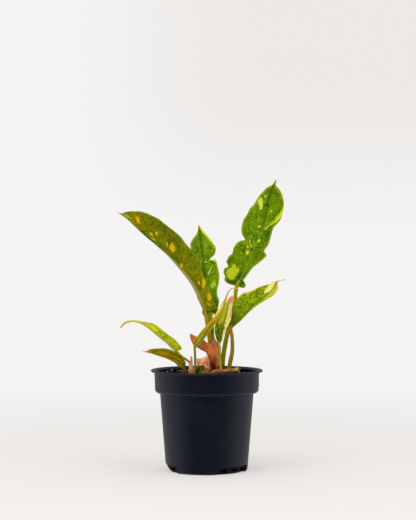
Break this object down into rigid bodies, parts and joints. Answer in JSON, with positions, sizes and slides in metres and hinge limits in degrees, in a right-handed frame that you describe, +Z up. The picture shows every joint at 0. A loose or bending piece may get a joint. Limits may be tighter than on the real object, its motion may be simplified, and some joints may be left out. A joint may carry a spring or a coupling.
{
  "type": "potted philodendron",
  "caption": "Young philodendron with narrow wavy yellow-splashed leaves on upright petioles, in a dark plastic nursery pot filled with potting mix.",
  "frame": {"origin": "centre of the pot's flat base, on the surface that it stands on", "axes": "+Z up along the pot's axis; -Y is the front, the side that the picture shows; +X is to the right in the picture"},
  "size_m": [0.1795, 0.12, 0.3131],
  "materials": {
    "pot": "satin, faint mould lines",
    "soil": "matt, crumbly",
    "stem": "matt",
    "cut_petiole": "satin",
    "leaf_left_long": "satin, waxy",
    "leaf_middle": "satin, waxy",
    "leaf_right_tall": "satin, waxy",
    "leaf_right_low": "satin, waxy",
    "leaf_front_small": "satin, waxy",
    "leaf_front_narrow": "satin, waxy",
    "leaf_left_thin": "satin, waxy",
    "leaf_left_low": "satin, waxy",
    "sheath_orange": "papery, ribbed",
    "sheath_pink": "papery",
    "sheath_crumpled": "papery, crumpled",
    "sheath_small": "papery"
  },
  "bodies": {
    "root": {"pot": "pot", "soil": "soil", "stem": "stem", "cut_petiole": "cut_petiole", "leaf_left_long": "leaf_left_long", "leaf_middle": "leaf_middle", "leaf_right_tall": "leaf_right_tall", "leaf_right_low": "leaf_right_low", "leaf_front_small": "leaf_front_small", "leaf_front_narrow": "leaf_front_narrow", "leaf_left_thin": "leaf_left_thin", "leaf_left_low": "leaf_left_low", "sheath_orange": "sheath_orange", "sheath_pink": "sheath_pink", "sheath_crumpled": "sheath_crumpled", "sheath_small": "sheath_small"}
  },
  "joints": []
}
